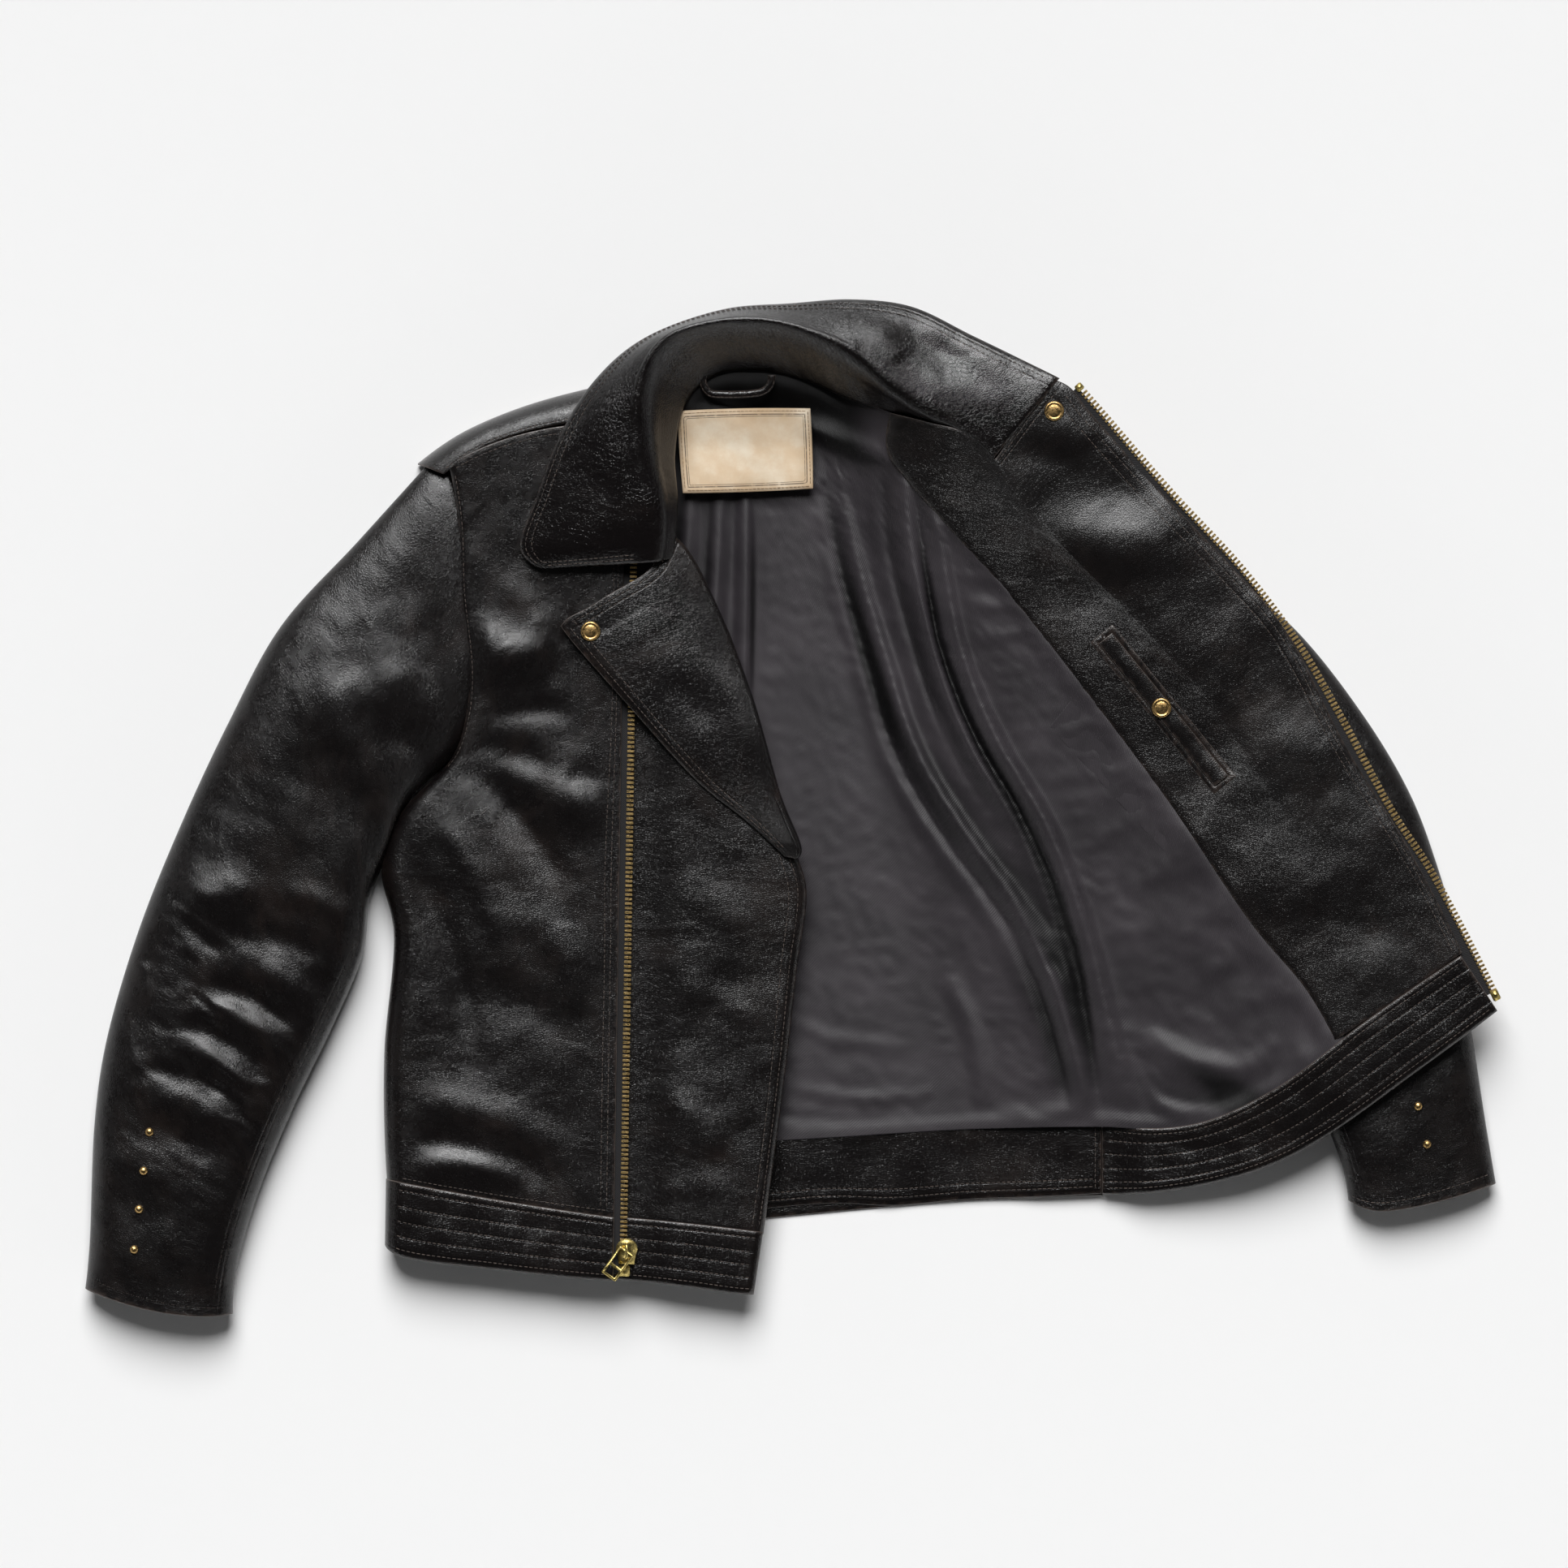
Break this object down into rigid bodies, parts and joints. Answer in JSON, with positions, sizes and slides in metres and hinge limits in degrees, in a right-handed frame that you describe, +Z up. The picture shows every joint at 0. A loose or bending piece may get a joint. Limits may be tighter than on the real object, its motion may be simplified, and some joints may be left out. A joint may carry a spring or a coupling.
{
  "type": "leather jacket",
  "caption": "Short black leather jacket laid on its back with a slanted front zip, one front closed and the other opened to show the lining.",
  "frame": {"origin": "centre of the bounding box footprint, on the floor it lies on", "axes": "+Y towards the collar, +Z up from the floor, +X towards the wearer's left side as seen from above"},
  "size_m": [1.0441, 0.7479, 0.0614],
  "materials": {
    "black_leather": "worn semi-gloss black-brown grain leather",
    "lining": "satin twill lining, near black",
    "brass": "aged brass, satin",
    "zip_tape": "woven black cotton zip tape",
    "label_cloth": "tan woven satin label, plain border, no lettering"
  },
  "bodies": {
    "body": {"right_zip_chain": "brass", "right_zip_box": "brass", "right_zip_top_stop": "brass", "right_front_snap_post": "brass", "right_cuff_stud_1": "brass", "right_cuff_stud_2": "brass", "right_cuff_stud_3": "brass", "right_cuff_stud_4": "brass", "left_cuff_stud_1": "brass", "left_cuff_stud_2": "brass", "left_cuff_stud_3": "brass", "left_cuff_stud_4": "brass", "back_lining": "lining", "right_front_lining": "lining", "right_zip_tape": "zip_tape", "label": "label_cloth", "back_panel": "black_leather", "back_yoke": "black_leather", "back_hem_band": "black_leather", "back_hem_facing": "black_leather", "right_shoulder_strip": "black_leather", "right_front_panel": "black_leather", "right_front_underlap": "black_leather", "right_front_facing": "black_leather", "right_hem_band": "black_leather", "right_hem_band_end": "black_leather", "collar_stand": "black_leather", "collar_right_leaf": "black_leather", "collar_back_fall": "black_leather", "collar_left_leaf": "black_leather", "right_sleeve_top": "black_leather", "right_sleeve_under": "black_leather", "left_sleeve_top": "black_leather", "left_sleeve_under": "black_leather"},
    "open_front": {"left_front_panel": "black_leather", "left_front_lining": "lining", "left_front_facing": "black_leather", "left_hem_band": "black_leather", "collar_left_point": "black_leather", "left_zip_chain": "brass", "left_zip_tape": "zip_tape", "left_zip_pin": "brass", "left_zip_top_stop": "brass", "left_lapel_snap": "brass", "pocket_bag": "lining"},
    "pocket_welt": {"pocket_welt": "black_leather", "pocket_snap": "brass"},
    "lapel": {"right_lapel": "black_leather", "right_lapel_snap": "brass", "right_lapel_snap_socket": "brass"},
    "slider": {"zip_slider": "brass"},
    "pull": {"zip_pull": "brass"},
    "loop": {"hanger_loop": "black_leather"}
  },
  "joints": [
    {"name": "open_front_fold", "type": "hinge", "parent": "body", "child": "open_front", "pos_m": [0.121, 0.29, 0.05], "axis": [0.1845, -0.9805, -0.0683], "range_deg": [0, 110]},
    {"name": "pocket_welt_lift", "type": "hinge", "parent": "open_front", "child": "pocket_welt", "pos_m": [0.22, 0.122, 0.044], "axis": [0.634, -0.7733, 0], "range_deg": [0, 45]},
    {"name": "lapel_fold", "type": "hinge", "parent": "body", "child": "lapel", "pos_m": [-0.028, 0.082, 0.031], "axis": [-0.3676, 0.93, 0], "range_deg": [0, 150]},
    {"name": "zip_slide", "type": "slide", "parent": "body", "child": "slider", "axis": [0.015, 0.9999, 0], "range_m": [0, 0.36]},
    {"name": "pull_swing", "type": "hinge", "parent": "slider", "child": "pull", "pos_m": [-0.12129, -0.32604, 0.0309], "axis": [-0.8105, 0.5858, 0], "range_deg": [0, 150]},
    {"name": "hanger_loop_swing", "type": "hinge", "parent": "body", "child": "loop", "pos_m": [-0.04, 0.318, 0.019], "axis": [-1, 0, 0], "range_deg": [0, 80]}
  ]
}
